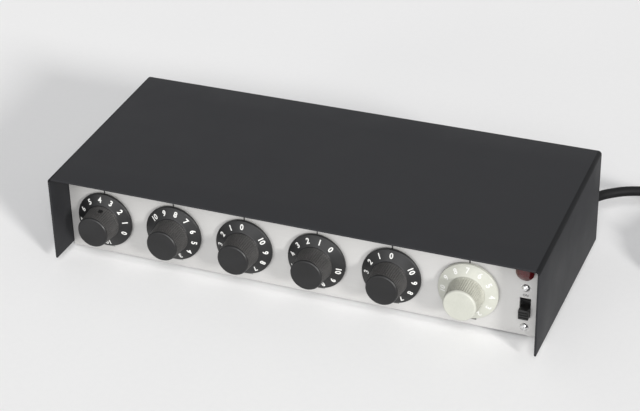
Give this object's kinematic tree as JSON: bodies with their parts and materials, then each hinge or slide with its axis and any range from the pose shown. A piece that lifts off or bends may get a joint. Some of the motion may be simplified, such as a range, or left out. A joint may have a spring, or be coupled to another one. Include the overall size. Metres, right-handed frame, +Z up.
{
  "type": "powered mixer",
  "caption": "Low desk mixer: black steel hood over a set-back aluminium panel with numbered rotary dials, pilot lamp, slide switch, rear jacks and a mains cord.",
  "frame": {"origin": "on the table under the middle of the cover", "axes": "+X to the right seen from the front, +Y to the back, +Z up; the panel faces -Y"},
  "size_m": [0.4445, 0.182, 0.065],
  "materials": {
    "black_paint": "matte textured black paint",
    "satin_aluminium": "satin",
    "zinc_steel": "zinc plated",
    "foot_rubber": "matte",
    "nickel_screw": "nickel plated",
    "nickel_nut": "nickel plated",
    "pot_metal": "plain plated",
    "copper_lead": "tinned copper",
    "red_lens": "clear dark red",
    "black_trim": "moulded",
    "bulb_glass": "clear",
    "phenolic": "moulded",
    "jack_plastic": "moulded",
    "board_laminate": "laminate",
    "brass_post": "plain",
    "capacitor_sleeve": "sleeved",
    "resistor_coat": "coated",
    "core_steel": "varnished laminations",
    "winding_wire": "taped winding",
    "cord_rubber": "smooth",
    "plug_plastic": "moulded",
    "black_knob": "moulded with white numbers",
    "ivory_knob": "moulded with white numbers",
    "shaft_metal": "turned",
    "dark_screw": "blackened"
  },
  "bodies": {
    "case": {"cover": "black_paint", "front_panel": "satin_aluminium", "chassis": "zinc_steel", "feet": "foot_rubber", "foot_screws": "nickel_screw", "cover_screws": "nickel_screw", "pot_housings": "pot_metal", "pot_caps": "pot_metal", "pot_nuts": "nickel_nut", "pot_leads": "copper_lead", "pilot_lens": "red_lens", "pilot_ring": "black_trim", "pilot_bulb": "bulb_glass", "switch_frame": "zinc_steel", "switch_base": "phenolic", "switch_screws": "nickel_screw", "switch_nuts": "nickel_nut", "jack_bodies": "jack_plastic", "jack_nuts": "nickel_nut", "jack_leads": "copper_lead", "circuit_board": "board_laminate", "standoffs": "brass_post", "board_screws": "nickel_screw", "capacitors": "capacitor_sleeve", "supply_capacitors": "capacitor_sleeve", "transistors": "black_trim", "resistors": "resistor_coat", "transformer_core": "core_steel", "transformer_winding": "winding_wire", "transformer_bracket": "zinc_steel", "transformer_screws": "nickel_screw", "strain_relief": "cord_rubber", "cord": "cord_rubber", "cord_coil": "cord_rubber", "cord_tie": "black_trim", "plug_body": "plug_plastic", "plug_blades": "brass_post"},
    "dial_1": {"knob_1": "black_knob", "shaft_1": "shaft_metal", "set_screw_1": "dark_screw"},
    "dial_2": {"knob_2": "black_knob", "shaft_2": "shaft_metal", "set_screw_2": "dark_screw"},
    "dial_3": {"knob_3": "black_knob", "shaft_3": "shaft_metal", "set_screw_3": "dark_screw"},
    "dial_4": {"knob_4": "black_knob", "shaft_4": "shaft_metal", "set_screw_4": "dark_screw"},
    "dial_5": {"knob_5": "black_knob", "shaft_5": "shaft_metal", "set_screw_5": "dark_screw"},
    "dial_6": {"knob_6": "ivory_knob", "shaft_6": "shaft_metal", "set_screw_6": "dark_screw"},
    "switch": {"switch_slider": "black_trim"}
  },
  "joints": [
    {"name": "dial_1_turn", "type": "hinge", "parent": "case", "child": "dial_1", "pos_m": [-0.122, -0.045, 0.0265], "axis": [0, 1, 0], "range_deg": [-114, 186]},
    {"name": "dial_2_turn", "type": "hinge", "parent": "case", "child": "dial_2", "pos_m": [-0.077, -0.045, 0.0265], "axis": [0, 1, 0], "range_deg": [-252, 48]},
    {"name": "dial_3_turn", "type": "hinge", "parent": "case", "child": "dial_3", "pos_m": [-0.032, -0.045, 0.0265], "axis": [0, 1, 0], "range_deg": [0, 300]},
    {"name": "dial_4_turn", "type": "hinge", "parent": "case", "child": "dial_4", "pos_m": [0.013, -0.045, 0.0265], "axis": [0, 1, 0], "range_deg": [-42, 258]},
    {"name": "dial_5_turn", "type": "hinge", "parent": "case", "child": "dial_5", "pos_m": [0.058, -0.045, 0.0265], "axis": [0, 1, 0], "range_deg": [-3, 297]},
    {"name": "dial_6_turn", "type": "hinge", "parent": "case", "child": "dial_6", "pos_m": [0.103, -0.045, 0.0265], "axis": [0, 1, 0], "range_deg": [-210, 90]},
    {"name": "switch_slide", "type": "slide", "parent": "case", "child": "switch", "axis": [0, 0, 1], "range_m": [0, 0.0054]}
  ]
}
